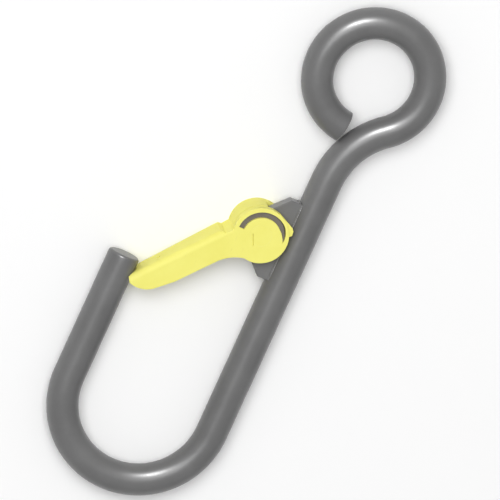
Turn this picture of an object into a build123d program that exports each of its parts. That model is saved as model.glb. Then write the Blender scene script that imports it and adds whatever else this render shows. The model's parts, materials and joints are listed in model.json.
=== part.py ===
from build123d import *
import math
import os

os.makedirs("parts", exist_ok=True)

# A safety hook bent from one round bar: an eye, an S-bend, a straight shank, a
# wide bight and a short open limb, closed by a sprung sheet-metal latch.
# The hook lies flat. The origin is the centre of the eye, in the middle of the
# bar; +Y runs up the shank, +Z along the latch's pivot, and the open limb is on
# the -X side of the shank.

# ---- Driving dimensions, millimetres and degrees -------------------------
BAR_D = 12.0
EYE_INNER_D = 30.0
BIGHT_WIDTH = 46.0  # clear width between the shank and the open limb
NECK_R = 32.0  # centreline radius of the S-bend under the eye
EYE_TO_BIGHT = 146.0  # eye centre to the centre of the bight's bend
LIMB_LENGTH = 50.0  # straight part of the open limb
EYE_END_ANGLE = 262.5  # where the bar ends, counted round the eye from +X
BAR_END_FILLET = 1.0

PIVOT_X = -15.7
PIVOT_Y = -69.0
RUNNING_GAP = 0.05  # radial clearance of the running fits

LUG_THICKNESS = 6.0
LUG_HALF_HEIGHT = 15.6
LUG_SHOULDER_X = -9.5  # where the square end of the lug starts to taper
LUG_NOSE_R = 6.5
WELD_R = 0.55

SHEET = 1.2
ARM_ANGLE = 231.2  # direction of the latch's arm, counted from +X
HEAD_WIDTH = 16.4  # over the ears
NOSE_WIDTH = 11.9  # over the cheeks, where the arm ends
ARM_END = 50.0
TAPER_START = 8.0
BEND_R = 2.4  # outside radius of the folded sheet
EAR_R = 10.45
RIM_DEPTH = 2.8  # how far the turned rim of an ear reaches in
RIM_START = -70
WALL_START = 97  # between these angles the web runs on round the ears
WALL_END = 192
WALL_SLIT = 0.7  # a fine slit parts the wall from the near ear's rim
TIP_GAP = 0.3  # latch to the open limb

WINDOW_INNER_R = 7.15
WINDOW_OUTER_R = 9.3
WINDOW_START = 4
WINDOW_TAPER = 50
WINDOW_END = 179

SLEEVE_R = 3.75
RIVET_R = 2.5
COUNTERSINK_R = 4.1
WASHER_THICKNESS = 0.5
HUB_R = 7.3
KEEPER_R = 8.9
KEEPER_THICKNESS = 0.35
SPRING_R = 8.3
WIRE_D = 1.1
SPRING_PITCH = 1.14
FIXED_LEG_ANGLE = 254.4
MOVING_LEG_ANGLE = 179.5
MOVING_LEG_LENGTH = 6.0

# ---- Derived dimensions ---------------------------------------------------
bar_r = BAR_D / 2
eye_r = EYE_INNER_D / 2 + bar_r
bend_r = (BIGHT_WIDTH + BAR_D) / 2
neck_angle = math.degrees(math.acos(NECK_R / (NECK_R + eye_r)))
shank_top = -(NECK_R + eye_r) * math.sin(math.radians(neck_angle))
limb_x = -2 * bend_r
limb_end_y = LIMB_LENGTH - EYE_TO_BIGHT

lug_face = LUG_THICKNESS / 2
head_out = HEAD_WIDTH / 2
head_in = head_out - SHEET
nose_out = NOSE_WIDTH / 2
nose_in = nose_out - SHEET
wire_r = WIRE_D / 2
washer_face = lug_face + WASHER_THICKNESS

# In the arm's plane X runs along the arm, and the web is on the -Y side.
arm_plane = Plane(
    origin=(PIVOT_X, PIVOT_Y, 0),
    x_dir=(math.cos(math.radians(ARM_ANGLE)), math.sin(math.radians(ARM_ANGLE)), 0),
    z_dir=(0, 0, 1),
)
# In the width's plane X runs along the arm and Y along the pivot.
width_plane = Plane(origin=arm_plane.origin, x_dir=arm_plane.x_dir, z_dir=-arm_plane.y_dir)


def pivot_plane(height):
    """The XY plane through the pivot's axis, at a height along it."""
    return Plane(origin=(PIVOT_X, PIVOT_Y, height), x_dir=(1, 0, 0), z_dir=(0, 0, 1))


def polar(radius, angle):
    """A point at a radius and an angle in degrees."""
    return (radius * math.cos(math.radians(angle)), radius * math.sin(math.radians(angle)))


def save(part, name):
    """Label one piece and write it as its own STEP file."""
    part.label = name
    export_step(part, f"parts/{name}.step")


# ---- Hook bar: one round bar, bent cold -----------------------------------
with BuildPart() as hook_bar:
    with BuildLine() as bar_path:
        eye = CenterArc((0, 0), eye_r, EYE_END_ANGLE, -(EYE_END_ANGLE + neck_angle))
        neck = CenterArc((NECK_R, shank_top), NECK_R, 180 - neck_angle, neck_angle)
        shank = Line((0, shank_top), (0, -EYE_TO_BIGHT))
        bight = CenterArc((-bend_r, -EYE_TO_BIGHT), bend_r, 0, -180)
        limb = Line((limb_x, -EYE_TO_BIGHT), (limb_x, limb_end_y))
    with BuildSketch(Plane(origin=eye @ 0, z_dir=eye % 0)):
        Circle(bar_r)
    sweep()
    limb_end = hook_bar.faces().filter_by(Axis.Y).sort_by(Axis.X)[0]
    fillet(limb_end.edges(), radius=BAR_END_FILLET)
save(hook_bar.part, "hook_bar")

# ---- Latch lug: a plate coped to the bar and welded to it ------------------
with BuildPart() as latch_lug:
    with BuildSketch(Plane.XY.offset(-lug_face)):
        with Locations((PIVOT_X, PIVOT_Y)):
            Circle(LUG_NOSE_R)
        with Locations((LUG_SHOULDER_X, PIVOT_Y)):
            Rectangle(-LUG_SHOULDER_X - bar_r / 2, 2 * LUG_HALF_HEIGHT, align=(Align.MIN, Align.CENTER))
        make_hull()
    extrude(amount=LUG_THICKNESS)
    outline = latch_lug.edges().filter_by(Plane.XY)
    chamfer(outline.filter_by(lambda edge: edge.center().X < -bar_r), length=0.35)
    with Locations((0, PIVOT_Y, 0)):
        Cylinder(bar_r, 4 * LUG_HALF_HEIGHT, rotation=(90, 0, 0), mode=Mode.SUBTRACT)
    with Locations((PIVOT_X, PIVOT_Y, 0)):
        Cylinder(SLEEVE_R + RUNNING_GAP, 2 * LUG_THICKNESS, mode=Mode.SUBTRACT)
save(latch_lug.part, "latch_lug")

# ---- Weld beads: two along the lug's faces, two across its ends ------------
weld_corner_x = -math.sqrt(bar_r**2 - lug_face**2)

for side, side_name in ((1, "near"), (-1, "far")):
    with BuildPart() as side_weld:
        with BuildSketch(Plane(origin=(0, PIVOT_Y, 0), x_dir=(1, 0, 0), z_dir=(0, -1, 0))):
            with Locations((weld_corner_x - 0.1, side * lug_face)):
                Circle(WELD_R)
        extrude(amount=LUG_HALF_HEIGHT - 0.1, both=True)
        with Locations((0, PIVOT_Y, 0)):
            Cylinder(bar_r, 4 * LUG_HALF_HEIGHT, rotation=(90, 0, 0), mode=Mode.SUBTRACT)
            Box(6 * bar_r, 4 * LUG_HALF_HEIGHT, LUG_THICKNESS, mode=Mode.SUBTRACT)
        with Locations((0, PIVOT_Y, -side * 2 * bar_r)):
            Box(6 * bar_r, 4 * LUG_HALF_HEIGHT, 4 * bar_r, mode=Mode.SUBTRACT)
    save(side_weld.part, f"weld_bead_{side_name}")

for side, end_name in ((1, "upper"), (-1, "lower")):
    end_y = PIVOT_Y + side * LUG_HALF_HEIGHT
    with BuildPart() as end_weld:
        with Locations((-bar_r - 0.05, end_y + side * 0.05, 0)):
            Cylinder(WELD_R, LUG_THICKNESS - 0.2)
        with Locations((0, PIVOT_Y, 0)):
            Cylinder(bar_r, 4 * LUG_HALF_HEIGHT, rotation=(90, 0, 0), mode=Mode.SUBTRACT)
            Box(6 * bar_r, 2 * LUG_HALF_HEIGHT, 4 * bar_r, mode=Mode.SUBTRACT)
    save(end_weld.part, f"weld_bead_{end_name}")

# ---- Thrust washers, one on each face of the lug ---------------------------
for side, side_name in ((1, "near"), (-1, "far")):
    with BuildPart() as thrust_washer:
        with BuildSketch(pivot_plane(side * lug_face)):
            Circle(LUG_NOSE_R - 0.4)
            Circle(SLEEVE_R + 2 * RUNNING_GAP, mode=Mode.SUBTRACT)
        extrude(amount=side * WASHER_THICKNESS)
        rim = thrust_washer.edges().filter_by(GeomType.CIRCLE).group_by(SortBy.RADIUS)[-1]
        chamfer(rim, length=0.15)
    save(thrust_washer.part, f"thrust_washer_{side_name}")

# ---- Latch channel: folded sheet, a web with two cheeks and round ears -----
nose = (50.9, -6.7)
heel = (9.3, 4.75)
web_root = (7.8, -6.9)
web_inside = web_root[1] + SHEET
rim_top = head_in - RIM_DEPTH
mark = Location((-2.07, -2.53, 0), (0, 0, 114.6))
MARK_LENGTH = 4.6
MARK_WIDTH = 0.4
MARK_DEPTH = 0.8


def half_width(along, inset=0):
    """Half the arm's width at a distance along it, on its unbroken taper."""
    taper = (head_out - nose_out) / (ARM_END - TAPER_START)
    return head_out - inset - taper * (along - TAPER_START)


# The room inside the fold. It narrows with the arm, and its floor is the web.
with BuildPart() as fold_room:
    with BuildSketch(width_plane):
        with BuildLine():
            Polyline(
                (0, -half_width(0, SHEET)), (60, -half_width(60, SHEET)), (60, half_width(60, SHEET)),
                (0, half_width(0, SHEET)), (0, -half_width(0, SHEET)),
            )
        make_face()
    extrude(amount=30, both=True)
    with BuildSketch(arm_plane):
        with BuildLine():
            Polyline((-1, -7.07), (61, -8.02), (61, 20), (-1, 20), (-1, -7.07))
        make_face()
    extrude(amount=30, both=True, mode=Mode.INTERSECT)
    room_floor = fold_room.faces().sort_by(Axis((0, 0, 0), arm_plane.y_dir))[0]
    fillet(room_floor.edges().filter_by(lambda edge: edge.length > 30), radius=BEND_R - SHEET)
    # The web's low root stays, and so does the sheet outside the ears' faces.
    with BuildSketch(arm_plane):
        with BuildLine():
            Polyline(
                (-1, -9), (12.8, -9), (12.8, -7.28), (11.6, web_inside), (8.4, web_inside),
                (7.2, -5.8), (-1, -5.8), (-1, -9),
            )
        make_face()
    extrude(amount=30, both=True, mode=Mode.SUBTRACT)
    with Locations(arm_plane):
        Box(200, 200, 2 * head_in, mode=Mode.INTERSECT)
        with Locations((7.2, 0)):
            Box(30, 60, 2 * head_in, align=(Align.MAX, Align.CENTER, Align.CENTER))
    # Each ear's edge is turned in, and opposite the lug the web runs on as a wall.
    for start, end, low, high in (
        (RIM_START, WALL_END, rim_top, 2 * head_out),
        (RIM_START, WALL_END, -2 * head_out, -rim_top),
        (WALL_START, WALL_END, -2 * head_out, rim_top - WALL_SLIT),
    ):
        with BuildSketch(pivot_plane(low)):
            with BuildLine():
                CenterArc((0, 0), EAR_R - SHEET, start, end - start)
                Line(polar(EAR_R - SHEET, end), polar(2 * EAR_R, end))
                CenterArc((0, 0), 2 * EAR_R, end, start - end)
                Line(polar(2 * EAR_R, start), polar(EAR_R - SHEET, start))
            make_face()
        extrude(amount=high - low, mode=Mode.SUBTRACT)

with BuildPart() as latch_channel:
    # The arm and its root, as a block that narrows towards the nose.
    with BuildSketch(width_plane):
        with BuildLine():
            Polyline(
                (-5, -half_width(-5)), (60, -half_width(60)), (60, half_width(60)),
                (-5, half_width(-5)), (-5, -half_width(-5)),
            )
        make_face()
    extrude(amount=30, both=True)
    with BuildSketch(arm_plane):
        with BuildLine():
            Polyline((0, -8.28), (ARM_END, -9.05), nose)
            ThreePointArc(nose, (48.4, -2.9), (43.6, -0.5))
            Polyline((43.6, -0.5), (36, 0.69), (18.6, 1.02))
            ThreePointArc((18.6, 1.02), (13.4, 2.2), heel)
            Polyline(heel, (0, 0), (0, -8.28))
        make_face()
    extrude(amount=30, both=True, mode=Mode.INTERSECT)
    web_face = latch_channel.faces().filter_by(GeomType.PLANE).sort_by(Axis((0, 0, 0), arm_plane.y_dir))[0]
    fillet(web_face.edges().filter_by(lambda edge: edge.length > 30), radius=BEND_R)
    # The web steps down to its root at the ears.
    with BuildSketch(arm_plane):
        with BuildLine():
            Polyline((-1, -20), (-1, web_root[1]), (11, web_root[1]), (12.2, -8.47), (12.2, -20), (-1, -20))
        make_face()
    extrude(amount=30, both=True, mode=Mode.SUBTRACT)
    with Locations(arm_plane):
        Box(200, 200, 2 * head_out, mode=Mode.INTERSECT)
    # The round ears.
    with BuildSketch(pivot_plane(0)):
        Circle(EAR_R)
    extrude(amount=head_out, both=True)
    add(fold_room.part, mode=Mode.SUBTRACT)
    # A flat horn on the shank side of each ear, just under its face.
    for side in (1, -1):
        with BuildSketch(pivot_plane(side * (head_in - SHEET))):
            with BuildLine():
                Polyline(
                    (3.0, 10.3), (9.9, 6.9), (10.7, 5.9), (10.9, 4.1), (9.8, 3.0), (7.6, 5.4), (3.0, 10.3),
                )
            make_face()
        extrude(amount=side * SHEET)
    # The tip is shaped round the open limb.
    with Locations((limb_x, PIVOT_Y - 30, 0)):
        Cylinder(bar_r + TIP_GAP, 60, rotation=(90, 0, 0), mode=Mode.SUBTRACT)
    # Rivet holes, countersunk on the outside of both ears.
    with Locations((PIVOT_X, PIVOT_Y, 0)):
        Cylinder(RIVET_R + RUNNING_GAP, 2 * HEAD_WIDTH, mode=Mode.SUBTRACT)
    for side in (1, -1):
        with Locations(Location((PIVOT_X, PIVOT_Y, side * head_out), (90 - side * 90, 0, 0))):
            Cone(
                RIVET_R, COUNTERSINK_R + RUNNING_GAP, SHEET,
                align=(Align.CENTER, Align.CENTER, Align.MAX), mode=Mode.SUBTRACT,
            )
    # A window in each ear: a half ring that narrows to a point at the shank.
    with BuildSketch(Plane(origin=(PIVOT_X + 0.41, PIVOT_Y - 0.28, 0), x_dir=(1, 0, 0), z_dir=(0, 0, 1))):
        with BuildLine():
            tip = polar((WINDOW_INNER_R + WINDOW_OUTER_R) / 2, WINDOW_START)
            ThreePointArc(tip, polar(WINDOW_INNER_R + 0.28, 30), polar(WINDOW_INNER_R, WINDOW_TAPER))
            CenterArc((0, 0), WINDOW_INNER_R, WINDOW_TAPER, WINDOW_END - WINDOW_TAPER)
            Line(polar(WINDOW_INNER_R, WINDOW_END), polar(WINDOW_OUTER_R, WINDOW_END))
            CenterArc((0, 0), WINDOW_OUTER_R, WINDOW_END, WINDOW_TAPER - WINDOW_END)
            ThreePointArc(polar(WINDOW_OUTER_R, WINDOW_TAPER), polar(WINDOW_OUTER_R - 0.28, 30), tip)
        make_face()
    extrude(amount=2 * head_out, both=True, mode=Mode.SUBTRACT)
    # A fine witness mark, cut across the ear and the rivet.
    with BuildSketch(pivot_plane(head_out - MARK_DEPTH)):
        with Locations(mark):
            Rectangle(MARK_LENGTH, MARK_WIDTH)
    extrude(amount=1, mode=Mode.SUBTRACT)
    # A small tooling hole in the web, near the tip.
    with Locations(width_plane.offset(8.6) * Location((37.2, 0.6, 0))):
        Cylinder(0.8, 6, mode=Mode.SUBTRACT)
save(latch_channel.part, "latch_channel")

# ---- Spacer sleeve: keeps the riveted ears apart, and turns in the lug ------
with BuildPart() as spacer_sleeve:
    with BuildSketch(pivot_plane(-head_in)):
        Circle(SLEEVE_R)
        Circle(RIVET_R + RUNNING_GAP, mode=Mode.SUBTRACT)
    extrude(amount=2 * head_in)
save(spacer_sleeve.part, "spacer_sleeve")

# ---- Pivot rivet: countersunk and set flush in both ears --------------------
with BuildPart() as pivot_rivet:
    with BuildSketch(pivot_plane(-head_in)):
        Circle(RIVET_R)
    extrude(amount=2 * head_in)
    for side in (1, -1):
        with Locations(Location((PIVOT_X, PIVOT_Y, side * head_out), (90 - side * 90, 0, 0))):
            Cone(RIVET_R, COUNTERSINK_R, SHEET, align=(Align.CENTER, Align.CENTER, Align.MAX))
    with BuildSketch(pivot_plane(head_out - MARK_DEPTH)):
        with Locations(mark):
            Rectangle(MARK_LENGTH, MARK_WIDTH)
    extrude(amount=1, mode=Mode.SUBTRACT)
save(pivot_rivet.part, "pivot_rivet")

# ---- Spring hubs: turned rings with a thin flange that keeps the spring in --
keeper_top = head_in - 0.1
for side, side_name in ((1, "near"), (-1, "far")):
    with BuildPart() as spring_hub:
        with BuildSketch(pivot_plane(side * (washer_face + 0.15))):
            Circle(HUB_R)
            Circle(SLEEVE_R + RUNNING_GAP, mode=Mode.SUBTRACT)
        extrude(amount=side * (keeper_top - washer_face - 0.15))
        hub_edge = spring_hub.edges().filter_by(GeomType.CIRCLE).group_by(SortBy.RADIUS)[-1]
        chamfer(hub_edge.sort_by(lambda edge: abs(edge.center().Z))[0], length=0.3)
        with BuildSketch(pivot_plane(side * keeper_top)):
            Circle(KEEPER_R)
            Circle(SLEEVE_R + RUNNING_GAP, mode=Mode.SUBTRACT)
        extrude(amount=-side * KEEPER_THICKNESS)
    save(spring_hub.part, f"spring_hub_{side_name}")

# ---- Torsion springs: one leg bears on the lug, the other under the web -----
coil_start_z = 3.75
coil_turns = (720 + MOVING_LEG_ANGLE - FIXED_LEG_ANGLE) / 360
leg_foot_z = 0.5
# The spring about the origin, with its fixed leg at angle 0.
with BuildPart() as spring_blank:
    with BuildLine(Plane.XY.offset(coil_start_z)):
        coil = Helix(pitch=SPRING_PITCH, height=coil_turns * SPRING_PITCH, radius=SPRING_R)
    with BuildSketch(Plane(origin=coil @ 0, z_dir=coil % 0)):
        Circle(wire_r)
    sweep(is_frenet=True)
    with Locations((SPRING_R, 0.1, leg_foot_z)):
        Cylinder(
            wire_r + 0.02, coil_start_z + 0.8 * wire_r - leg_foot_z,
            align=(Align.CENTER, Align.CENTER, Align.MIN),
        )
    with BuildSketch(Plane(origin=coil @ 1, z_dir=coil % 1)):
        Circle(wire_r)
    extrude(amount=MOVING_LEG_LENGTH)

with BuildPart() as torsion_spring_near:
    with Locations(Location((PIVOT_X, PIVOT_Y, 0), (0, 0, FIXED_LEG_ANGLE))):
        add(spring_blank.part)
save(torsion_spring_near.part, "torsion_spring_near")

with BuildPart() as torsion_spring_far:
    add(mirror(torsion_spring_near.part, about=Plane.XY))
save(torsion_spring_far.part, "torsion_spring_far")
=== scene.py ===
import json
import math

import bpy
from mathutils import Matrix, Vector


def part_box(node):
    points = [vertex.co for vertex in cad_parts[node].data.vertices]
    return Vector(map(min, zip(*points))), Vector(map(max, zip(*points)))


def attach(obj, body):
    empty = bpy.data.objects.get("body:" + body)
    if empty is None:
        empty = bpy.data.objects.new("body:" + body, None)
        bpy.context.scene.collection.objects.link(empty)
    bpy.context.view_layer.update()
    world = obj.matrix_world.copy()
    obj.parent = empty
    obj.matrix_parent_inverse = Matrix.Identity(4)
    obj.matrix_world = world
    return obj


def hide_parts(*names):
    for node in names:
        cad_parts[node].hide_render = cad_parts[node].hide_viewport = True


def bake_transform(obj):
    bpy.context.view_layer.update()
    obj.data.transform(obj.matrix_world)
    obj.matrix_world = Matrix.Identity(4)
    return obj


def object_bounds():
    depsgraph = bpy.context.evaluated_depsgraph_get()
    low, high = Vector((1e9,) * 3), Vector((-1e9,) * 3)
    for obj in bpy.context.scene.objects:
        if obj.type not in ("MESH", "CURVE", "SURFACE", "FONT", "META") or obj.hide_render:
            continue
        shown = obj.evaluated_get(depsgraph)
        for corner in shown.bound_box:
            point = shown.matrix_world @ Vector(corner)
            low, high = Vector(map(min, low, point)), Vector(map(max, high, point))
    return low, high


# A safety hook bent from one round steel bar, with a sprung yellow latch. The
# frame is in metres: the hook lies flat, +Y runs up its shank and +Z is the
# latch's pivot.
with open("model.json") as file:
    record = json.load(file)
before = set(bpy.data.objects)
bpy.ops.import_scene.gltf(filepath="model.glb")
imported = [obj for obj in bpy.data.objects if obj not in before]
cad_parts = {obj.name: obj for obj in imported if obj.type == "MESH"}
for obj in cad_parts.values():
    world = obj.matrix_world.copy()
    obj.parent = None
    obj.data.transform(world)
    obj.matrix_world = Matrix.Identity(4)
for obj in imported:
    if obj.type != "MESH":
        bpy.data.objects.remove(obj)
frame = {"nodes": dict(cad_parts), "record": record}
cad_low, cad_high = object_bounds()
nodes = frame["nodes"]
record = frame["record"]

# ---- Sizes and places: the frame's own, and those that the record leaves out ----
MM = 0.001
mounts = {mount["name"]: mount for mount in record["mounts"]}
pivot = Vector(record["behaviour"]["joints"][0]["pos_m"])
bar_low, bar_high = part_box("hook_bar")
bar_r = (bar_high.z - bar_low.z) / 2
eye_r = mounts["eye"]["dims"]["r_mm"] * MM + bar_r
bight_centre = Vector(mounts["bight"]["pos_m"])
bight_r = mounts["bight"]["dims"]["r_mm"] * MM + bar_r
limb_x = bight_centre.x - bight_r
NECK_R = 32 * MM
LIMB_LENGTH = 50 * MM
EYE_END_ANGLE = 262.5
BAR_END_FILLET = 1.0 * MM
SHEARED_EDGE = 0.15 * MM  # the bar's cut end at the eye is hardly rounded
BAR_SIDES = 72
BAR_FILLET_STEPS = 6
ARC_STEP = 1.4 * MM
LINE_STEP = 3.0 * MM
SAME_POINT = 0.02 * MM
COAT_WAVE = 0.035 * MM  # how far the bar's surface dips under its coat
WAVES_ALONG = (41 / 6, 23 / 6)  # the dips' two rhythms along the bar, per radius
END_RINGS = (0.25, 0.5, 0.75, 0.96)  # rings across a flat end, as shares of its radius

lug_low, lug_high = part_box("latch_lug")
lug_face = lug_high.z
WELD_RIPPLE = 0.9 * MM
WELD_LEG = 0.55 * MM
WELD_STATION = 0.1 * MM
WELD_STEPS = 8
WELD_TROUGH = 0.82  # the bead's size between two ripples, as a share of its crest
WELD_FADE = 12  # how fast the bead grows from its ends, along the whole length
WELD_START = 0.15  # its size at its very ends
END_WELD_REACH = 0.9  # how much of the lug's thickness an end bead spans

FIXED_LEG_ANGLE = 254.4
MOVING_LEG_ANGLE = 179.5
MOVING_LEG_LENGTH = 6.0 * MM
COIL_START_Z = 3.75 * MM
SPRING_PITCH = 1.14 * MM
SPRING_R = 8.3 * MM
WIRE_R = 0.55 * MM
WIRE_SIDES = 20
WIRE_FILLET = 0.1 * MM
WIRE_FILLET_STEPS = 3
WIRE_STEP = 0.5 * MM
LEG_FOOT_Z = 0.5 * MM
LEG_BEND_R = 0.9 * MM
LEG_BEND_STEPS = 8
COIL_STEP_ANGLE = 4
COIL_ANGLE = 720 + MOVING_LEG_ANGLE - FIXED_LEG_ANGLE

FLOOR_SIZE = 8
FLOOR_Z = cad_low.z - 0.1 * MM  # just clear of the latch's lower ear
VIEW_RIGHT = Vector((0.9049, 0.4094, 0.1164)).normalized()
VIEW_BACK = VIEW_RIGHT.cross(Vector((-0.3731, 0.8946, -0.2460))).normalized()
VIEW_UP = VIEW_BACK.cross(VIEW_RIGHT)
VIEW_TARGET = Vector((-0.0155, -0.0770, 0.0))
VIEW_WIDTH = 0.1844  # what the camera takes in at the target
CAMERA_DISTANCE = 8.0
SENSOR = 36.0
CLIP_NEAR = 0.1
CLIP_FAR = 100.0
WORLD_STRENGTH = 0.38

# ---- Colours, as linear RGB: the darker and the lighter tone of each finish ----
BAR_TONES = ((0.134, 0.134, 0.134), (0.168, 0.168, 0.168))
PLATE_TONES = ((0.145, 0.145, 0.145), (0.178, 0.178, 0.178))
WELD_TONES = ((0.135, 0.135, 0.135), (0.170, 0.170, 0.170))
YELLOW_TONES = ((0.865, 0.815, 0.178), (0.905, 0.86, 0.212))
SCUFFED_YELLOW = (0.66, 0.60, 0.17)
# the paler yellow of the sharp edges: wear, and also a painted edge highlight
WORN_AND_HIGHLIT_YELLOW = (0.93, 0.90, 0.45)
WORN_LIFT = 1.9  # how much lighter than its coat a worn steel edge is
ZINC_TONES = ((0.45, 0.46, 0.47), (0.60, 0.61, 0.62))
OILED_TONES = ((0.150, 0.135, 0.118), (0.190, 0.172, 0.150))
WIRE_TONES = ((0.060, 0.055, 0.050), (0.110, 0.102, 0.095))
PAPER_TONES = ((0.955, 0.955, 0.955), (0.965, 0.965, 0.965))

# ---- Materials ------------------------------------------------------------
NOISE_RANGE = (0.3, 0.7)  # where most of a noise's values lie


class Nodes:
    """A small helper that adds and links the nodes of one material."""

    def __init__(self, name, metallic, roughness):
        self.material = bpy.data.materials.new(name)
        self.material.use_nodes = True
        self.tree = self.material.node_tree
        self.shader = self.tree.nodes["Principled BSDF"]
        self.shader.inputs["Metallic"].default_value = metallic
        self.shader.inputs["Roughness"].default_value = roughness

    def add(self, kind, **settings):
        node = self.tree.nodes.new(kind)
        for key, value in settings.items():
            setattr(node, key, value)
        return node

    def link(self, output, socket):
        self.tree.links.new(output, socket)

    def place(self, attribute, stretch=(1, 1, 1)):
        """Coordinates on the surface: the object's own, or a stored attribute."""
        scale = self.add("ShaderNodeMapping")
        scale.inputs["Scale"].default_value = stretch
        if attribute is None:
            source = self.add("ShaderNodeTexCoord")
            self.link(source.outputs["Object"], scale.inputs["Vector"])
        else:
            source = self.add("ShaderNodeAttribute", attribute_name=attribute)
            self.link(source.outputs["Vector"], scale.inputs["Vector"])
        return scale.outputs["Vector"]

    def noise(self, place, scale, detail=4.0, rough=0.55):
        node = self.add("ShaderNodeTexNoise")
        node.inputs["Scale"].default_value = scale
        node.inputs["Detail"].default_value = detail
        node.inputs["Roughness"].default_value = rough
        self.link(place, node.inputs["Vector"])
        return node.outputs["Fac"]

    def spots(self, place, scale):
        node = self.add("ShaderNodeTexVoronoi")
        node.inputs["Scale"].default_value = scale
        self.link(place, node.inputs["Vector"])
        return node.outputs["Distance"]

    def spread(self, value, low, high, to_low, to_high):
        node = self.add("ShaderNodeMapRange")
        for socket, number in zip(node.inputs[1:5], (low, high, to_low, to_high)):
            socket.default_value = number
        self.link(value, node.inputs[0])
        return node.outputs[0]

    def mix(self, factor, first, second):
        node = self.add("ShaderNodeMix", data_type="RGBA")
        colours = [socket for socket in node.inputs if socket.type == "RGBA"]
        for socket, colour in zip(colours, (first, second)):
            if isinstance(colour, tuple):
                socket.default_value = (*colour, 1)
            else:
                self.link(colour, socket)
        self.link(factor, node.inputs[0])
        return next(socket for socket in node.outputs if socket.type == "RGBA")

    def multiply(self, first, second):
        node = self.add("ShaderNodeMath", operation="MULTIPLY")
        for socket, value in zip(node.inputs, (first, second)):
            if isinstance(value, float):
                socket.default_value = value
            else:
                self.link(value, socket)
        return node.outputs[0]

    def edges(self, width, low, high):
        """1 on sharp edges and 0 on flats, from how fast the surface turns."""
        bevel = self.add("ShaderNodeBevel", samples=6)
        bevel.inputs["Radius"].default_value = width
        flat = self.add("ShaderNodeNewGeometry")
        dot = self.add("ShaderNodeVectorMath", operation="DOT_PRODUCT")
        self.link(bevel.outputs["Normal"], dot.inputs[0])
        self.link(flat.outputs["Normal"], dot.inputs[1])
        return self.spread(dot.outputs["Value"], high, low, 0, 1)

    def bump(self, heights):
        """Chains bumps: pairs of a height and its depth in metres."""
        previous = None
        for height, depth in heights:
            node = self.add("ShaderNodeBump")
            node.inputs["Strength"].default_value = 1.0
            node.inputs["Distance"].default_value = depth
            self.link(height, node.inputs["Height"])
            if previous is not None:
                self.link(previous, node.inputs["Normal"])
            previous = node.outputs["Normal"]
        self.link(previous, self.shader.inputs["Normal"])


def coated_steel(name, attribute, tones, draw):
    """Dark satin coat on steel: clouds, grain, pits and worn edges. draw is how
    strong the lines are that drawing the bar has left along it."""
    dark, light = tones
    worn_through = tuple(WORN_LIFT * part for part in light)
    m = Nodes(name, metallic=0.0, roughness=0.42)
    m.shader.inputs["Specular IOR Level"].default_value = 0.45
    place = m.place(attribute)
    lines = m.noise(m.place(attribute, stretch=(0.03, 1, 1)), scale=2600, detail=3)
    cloud = m.noise(place, scale=60, detail=5, rough=0.6)
    grain = m.noise(place, scale=2400, detail=3, rough=0.6)
    pits = m.spread(m.spots(place, scale=1500), 0.0, 0.18, 0, 1)
    colour = m.mix(m.spread(cloud, *NOISE_RANGE, 0, 1), dark, light)
    edges = m.edges(0.5 * MM, low=0.80, high=0.97)
    worn = m.multiply(edges, m.spread(grain, 0.42, 0.62, 0, 1))
    colour = m.mix(m.multiply(worn, 0.55), colour, worn_through)
    streaks = m.spread(lines, 0.52, 0.75, 0, 1)
    colour = m.mix(m.multiply(streaks, 0.22 * draw), colour, light)
    m.link(colour, m.shader.inputs["Base Color"])
    m.link(m.spread(grain, *NOISE_RANGE, 0.29, 0.40), m.shader.inputs["Roughness"])
    m.bump((
        (cloud, 0.03 * MM),
        (lines, 0.006 * MM * draw),
        (grain, 0.008 * MM),
        (pits, 0.006 * MM),
    ))
    return m.material


def yellow_coat(name):
    """Pale yellow coat on pressed sheet: orange peel, scuffs, and worn edges made paler, which
    also paints a highlight along them.
    """
    m = Nodes(name, metallic=0.0, roughness=0.55)
    m.shader.inputs["Specular IOR Level"].default_value = 0.13
    place = m.place(None)
    cloud = m.noise(place, scale=90, detail=4, rough=0.6)
    peel = m.noise(place, scale=1100, detail=2, rough=0.5)
    grain = m.noise(place, scale=4200, detail=3, rough=0.6)
    scuff = m.noise(m.place(None, stretch=(1, 0.18, 1)), scale=900, detail=4, rough=0.7)
    colour = m.mix(m.spread(cloud, *NOISE_RANGE, 0, 1), *YELLOW_TONES)
    scuffed = m.spread(scuff, 0.62, 0.74, 0, 1)
    colour = m.mix(m.multiply(scuffed, 0.25), colour, SCUFFED_YELLOW)
    # Sharp edges turn paler yellow: partly wear, partly a painted highlight along the rims.
    edges = m.edges(0.35 * MM, low=0.70, high=0.95)
    worn = m.multiply(edges, m.spread(grain, 0.47, 0.62, 0, 1))
    colour = m.mix(m.multiply(worn, 0.4), colour, WORN_AND_HIGHLIT_YELLOW)
    m.link(colour, m.shader.inputs["Base Color"])
    m.link(m.spread(peel, *NOISE_RANGE, 0.50, 0.64), m.shader.inputs["Roughness"])
    m.bump(((peel, 0.012 * MM), (grain, 0.002 * MM)))
    return m.material


def bare_metal(name, tones, roughness, turned):
    """Plated or oiled steel. turned, over 1, squeezes its marks along the pivot, as
    a lathe leaves them."""
    m = Nodes(name, metallic=0.85, roughness=roughness)
    marks = m.noise(m.place(None, stretch=(1, 1, turned)), scale=3000, detail=3, rough=0.6)
    cloud = m.noise(m.place(None), scale=400, detail=4, rough=0.6)
    colour = m.mix(m.spread(cloud, *NOISE_RANGE, 0, 1), *tones)
    shine = m.spread(marks, *NOISE_RANGE, roughness - 0.08, roughness + 0.1)
    m.link(colour, m.shader.inputs["Base Color"])
    m.link(shine, m.shader.inputs["Roughness"])
    m.bump(((marks, 0.003 * MM), (cloud, 0.004 * MM)))
    return m.material


def floor_paper():
    m = Nodes("floor_paper", metallic=0.0, roughness=0.9)
    colour = m.mix(m.noise(m.place(None), scale=30, detail=3), *PAPER_TONES)
    m.link(colour, m.shader.inputs["Base Color"])
    return m.material


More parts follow.
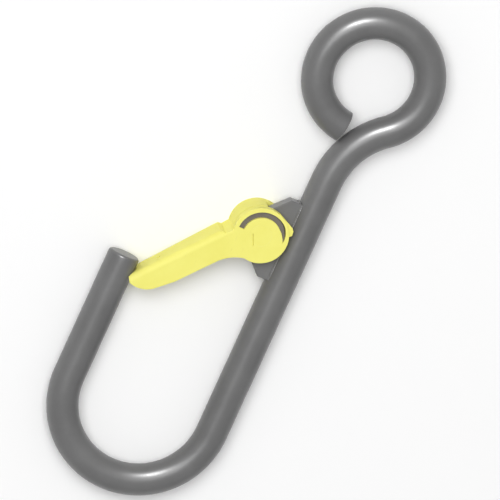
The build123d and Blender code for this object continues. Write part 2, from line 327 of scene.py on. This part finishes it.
# ---- Mesh building ----------------------------------------------------------
def mesh_object(name, vertices, faces, material):
    mesh = bpy.data.meshes.new(name)
    mesh.from_pydata(vertices, [], faces)
    mesh.validate()
    mesh.polygons.foreach_set("use_smooth", [True] * len(mesh.polygons))
    mesh.materials.append(material)
    thing = bpy.data.objects.new(name, mesh)
    bpy.context.scene.collection.objects.link(thing)
    return thing


def arc(centre, radius, start, turn, step):
    """Points on an arc in the XY plane, angles in degrees."""
    count = max(2, round(abs(math.radians(turn)) * radius / step))
    angles = [math.radians(start + turn * i / count) for i in range(count + 1)]
    return [centre + radius * Vector((math.cos(a), math.sin(a), 0)) for a in angles]


def line(start, end, step):
    count = max(1, round((end - start).length / step))
    return [start.lerp(end, i / count) for i in range(count + 1)]


def joined(*runs):
    """One list of points without the doubled ends of its runs."""
    points = []
    for run in runs:
        points += [p for p in run if not points or (p - points[-1]).length > SAME_POINT]
    return points


def rounded_end(point, inward, radius, fillet, steps):
    """Stations (centre, radius) of a round bar's end, from its flat face inwards."""
    stations = [(point, share * (radius - fillet)) for share in END_RINGS]
    for i in range(steps + 1):
        a = math.pi / 2 * i / steps
        centre = point + inward * fillet * (1 - math.cos(a))
        stations.append((centre, radius - fillet * (1 - math.sin(a))))
    return stations


def tube(name, path, radius, sides, material, start_fillet, end_fillet, steps, dip=0.0):
    """A round bar along a path, with filleted flat ends. Its sweep attribute
    unrolls it: the distance along, and a point round the section. dip is how
    deep its surface waves."""
    tangents = []
    for i, point in enumerate(path):
        before = path[max(i - 1, 0)]
        after = path[min(i + 1, len(path) - 1)]
        tangents.append((after - before).normalized())
    start = rounded_end(path[0], tangents[0], radius, start_fillet, steps)
    end = rounded_end(path[-1], -tangents[-1], radius, end_fillet, steps)
    stations = [(c, r, tangents[0]) for c, r in start]
    # The path's steps are longer than the fillets, so only its two ends give way.
    stations += [(point, radius, tangent) for point, tangent in zip(path[1:-1], tangents[1:-1])]
    stations += [(c, r, tangents[-1]) for c, r in reversed(end)]

    vertices, sweep, along = [], [], 0.0
    upright = abs(tangents[0].z) > 0.9
    side = Vector((1, 0, 0)) if upright else Vector((0, 0, 1))
    for i, (centre, r, tangent) in enumerate(stations):
        if i:
            along += (centre - stations[i - 1][0]).length
        side = (side - tangent * side.dot(tangent)).normalized()
        other = tangent.cross(side)
        first_turn, second_turn = (rhythm * along / radius for rhythm in WAVES_ALONG)
        for k in range(sides):
            a = 2 * math.pi * k / sides
            wave = math.sin(first_turn + 2 * math.sin(a)) * math.sin(second_turn + 3 * a)
            reach = r - dip * (0.5 + 0.5 * wave)
            ring = math.cos(a) * side + math.sin(a) * other
            vertices.append(centre + reach * ring)
            sweep.append((along, r * math.cos(a), r * math.sin(a)))
    faces = []
    for i in range(len(stations) - 1):
        for k in range(sides):
            n = (k + 1) % sides
            faces.append((i * sides + k, i * sides + n, (i + 1) * sides + n, (i + 1) * sides + k))
    for ring, centre, flip in ((0, path[0], True), (len(stations) - 1, path[-1], False)):
        hub = len(vertices)
        vertices.append(centre)
        sweep.append((0 if flip else along, 0, 0))
        for k in range(sides):
            a, b = ring * sides + k, ring * sides + (k + 1) % sides
            faces.append((hub, b, a) if flip else (hub, a, b))
    thing = mesh_object(name, vertices, faces, material)
    store = thing.data.attributes.new("sweep", "FLOAT_VECTOR", "POINT")
    store.data.foreach_set("vector", [number for triple in sweep for number in triple])
    return thing


def bar_path():
    neck_angle = math.degrees(math.acos(NECK_R / (NECK_R + eye_r)))
    shank_top = -(NECK_R + eye_r) * math.sin(math.radians(neck_angle))
    eye = arc(Vector((0, 0, 0)), eye_r, EYE_END_ANGLE, -(EYE_END_ANGLE + neck_angle), ARC_STEP)
    neck = arc(Vector((NECK_R, shank_top, 0)), NECK_R, 180 - neck_angle, neck_angle, ARC_STEP)
    shank = line(Vector((0, shank_top, 0)), Vector((0, bight_centre.y, 0)), LINE_STEP)
    bight = arc(bight_centre, bight_r, 0, -180, ARC_STEP)
    limb_top = Vector((limb_x, bight_centre.y + LIMB_LENGTH, 0))
    limb = line(Vector((limb_x, bight_centre.y, 0)), limb_top, LINE_STEP)
    return joined(eye, neck, shank, bight, limb)


def spring_path(side):
    """The spring's centreline: fixed leg, coil, moving leg. side is +1 near, -1 far."""
    def at(radius, degrees, z):
        a = math.radians(degrees)
        return pivot + Vector((radius * math.cos(a), radius * math.sin(a), side * z))

    foot = at(SPRING_R, FIXED_LEG_ANGLE, LEG_FOOT_Z)
    knee = at(SPRING_R, FIXED_LEG_ANGLE, COIL_START_Z - LEG_BEND_R)
    leg = line(foot, knee, WIRE_STEP)
    bend_turn = math.degrees(LEG_BEND_R / SPRING_R)
    bend = []
    for i in range(1, LEG_BEND_STEPS + 1):
        a = math.pi / 2 * i / LEG_BEND_STEPS
        degrees = FIXED_LEG_ANGLE + bend_turn * (1 - math.cos(a))
        bend.append(at(SPRING_R, degrees, COIL_START_Z - LEG_BEND_R * (1 - math.sin(a))))
    count = round(COIL_ANGLE / COIL_STEP_ANGLE)
    coil = []
    for i in range(count + 1):
        turned = bend_turn + (COIL_ANGLE - bend_turn) * i / count
        height = COIL_START_Z + SPRING_PITCH * turned / 360
        coil.append(at(SPRING_R, FIXED_LEG_ANGLE + turned, height))
    heading = math.radians(MOVING_LEG_ANGLE + 90)
    tip = coil[-1] + MOVING_LEG_LENGTH * Vector((math.cos(heading), math.sin(heading), 0))
    return joined(leg, bend, coil, line(coil[-1], tip, WIRE_STEP))


def weld_bead(name, start, end, first, second, material):
    """A rippled convex bead from start to end. first and second are the
    directions from its root along the two surfaces that it joins."""
    length = (end - start).length
    count = round(length / WELD_STATION)
    vertices, faces = [], []
    for i in range(count + 1):
        t = i / count
        ripple = abs(math.cos(math.pi * t * length / WELD_RIPPLE))
        fade = min(1.0, WELD_FADE * min(t, 1 - t) + WELD_START)
        reach = WELD_LEG * fade * (WELD_TROUGH + (1 - WELD_TROUGH) * ripple)
        centre = start.lerp(end, t)
        for k in range(WELD_STEPS + 1):
            a = math.pi / 2 * k / WELD_STEPS
            vertices.append(centre + reach * (math.cos(a) * first + math.sin(a) * second))
        vertices.append(centre)
    ring = WELD_STEPS + 2
    for i in range(count):
        for k in range(ring):
            n = (k + 1) % ring
            faces.append((i * ring + k, i * ring + n, (i + 1) * ring + n, (i + 1) * ring + k))
    faces.append(tuple(reversed(range(ring))))
    faces.append(tuple(count * ring + k for k in range(ring)))
    return mesh_object(name, vertices, faces, material)


def stand_in(node):
    """Hides a CAD node that a detailed piece of the same shape, built elsewhere, stands in for.
    """
    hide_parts(node)


# ---- Camera, lights and floor ------------------------------------------------
def make_camera():
    data = bpy.data.cameras.new("camera")
    data.sensor_width = SENSOR
    data.lens = SENSOR * CAMERA_DISTANCE / VIEW_WIDTH
    data.clip_start = CLIP_NEAR
    data.clip_end = CLIP_FAR
    camera = bpy.data.objects.new("camera", data)
    bpy.context.scene.collection.objects.link(camera)
    turn = Matrix((VIEW_RIGHT, VIEW_UP, VIEW_BACK)).transposed().to_4x4()
    camera.matrix_world = Matrix.Translation(VIEW_TARGET + VIEW_BACK * CAMERA_DISTANCE) @ turn
    bpy.context.scene.camera = camera


def area_light(name, direction, distance, size, power, gloss_only=False):
    """A square light that faces the view's target from a direction."""
    data = bpy.data.lights.new(name, "AREA")
    data.shape = "SQUARE"
    data.size = size
    data.energy = power
    light = bpy.data.objects.new(name, data)
    bpy.context.scene.collection.objects.link(light)
    back = direction.normalized()
    right = (VIEW_RIGHT - back * VIEW_RIGHT.dot(back)).normalized()
    turn = Matrix((right, back.cross(right), back)).transposed().to_4x4()
    light.matrix_world = Matrix.Translation(VIEW_TARGET + back * distance) @ turn
    light.visible_camera = False
    light.visible_diffuse = not gloss_only


def make_world():
    world = bpy.data.worlds.new("world")
    bpy.context.scene.world = world
    world.use_nodes = True
    background = world.node_tree.nodes["Background"]
    background.inputs["Color"].default_value = (1, 1, 1, 1)
    background.inputs["Strength"].default_value = WORLD_STRENGTH


bpy.context.scene.view_settings.view_transform = "Standard"
make_camera()
make_world()
# A wide soft light from near the camera, and a small high one for glints alone.
from_front = VIEW_BACK + 0.08 * VIEW_UP - 0.05 * VIEW_RIGHT
from_above = 0.90 * VIEW_BACK + 0.43 * VIEW_UP + 0.02 * VIEW_RIGHT
area_light("front", from_front, distance=2.4, size=1.4, power=43)
area_light("gloss", from_above, distance=1.2, size=0.14, power=26, gloss_only=True)

bpy.ops.mesh.primitive_plane_add(size=FLOOR_SIZE, location=(0, 0, FLOOR_Z))
floor = bpy.context.object
floor.name = "floor"
floor.data.materials.append(floor_paper())

# ---- The object ------------------------------------------------------------
bar_coat = coated_steel("bar_coat", "sweep", BAR_TONES, draw=1.0)
plate_coat = coated_steel("plate_coat", None, PLATE_TONES, draw=0.4)
weld_coat = coated_steel("weld_coat", None, WELD_TONES, draw=0.0)
latch_coat = yellow_coat("latch_coat")
zinc = bare_metal("zinc", ZINC_TONES, roughness=0.34, turned=6)
oiled_steel = coated_steel("oiled_steel", None, OILED_TONES, draw=0.3)
spring_wire = bare_metal("spring_wire", WIRE_TONES, roughness=0.38, turned=1)

bar = tube(
    "bent_bar", bar_path(), bar_r, BAR_SIDES, bar_coat,
    SHEARED_EDGE, BAR_END_FILLET, BAR_FILLET_STEPS, COAT_WAVE,
)
stand_in("hook_bar")
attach(bar, "hook")

# The lug's flat faces meet the round bar in a corner, which the side beads fill.
corner_x = -math.sqrt(bar_r**2 - lug_face**2)
up_bar = Vector((lug_face, 0, -corner_x)).normalized()
for side, side_name in ((1, "near"), (-1, "far")):
    root = Vector((corner_x, 0, side * lug_face))
    bead = weld_bead(
        f"weld_side_{side_name}",
        root + Vector((0, lug_low.y, 0)), root + Vector((0, lug_high.y, 0)),
        Vector((-1, 0, 0)), Vector((up_bar.x, 0, side * up_bar.z)), weld_coat,
    )
    stand_in(f"weld_bead_{side_name}")
    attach(bead, "hook")
for side, end_name, end_y in ((1, "upper", lug_high.y), (-1, "lower", lug_low.y)):
    root = Vector((-bar_r, end_y, 0))
    reach = Vector((0, 0, END_WELD_REACH * lug_face))
    bead = weld_bead(
        f"weld_end_{end_name}", root - reach, root + reach,
        Vector((-1, 0, 0)), Vector((0, side, 0)), weld_coat,
    )
    stand_in(f"weld_bead_{end_name}")
    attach(bead, "hook")

# The springs lie between the lug, which holds their feet, and the latch.
for side, side_name in ((1, "near"), (-1, "far")):
    wire = tube(
        f"spring_wire_{side_name}", spring_path(side), WIRE_R, WIRE_SIDES, spring_wire,
        WIRE_FILLET, WIRE_FILLET, WIRE_FILLET_STEPS,
    )
    stand_in(f"torsion_spring_{side_name}")
    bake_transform(wire)

# The CAD nodes that stay; the sleeve and the washers are zinc-plated.
looks = {
    "latch_lug": plate_coat,
    "latch_channel": latch_coat,
    "pivot_rivet": latch_coat,
    "spring_hub_near": oiled_steel,
    "spring_hub_far": oiled_steel,
}
for name, node in nodes.items():
    node.data.materials.clear()
    node.data.materials.append(looks.get(name, zinc))
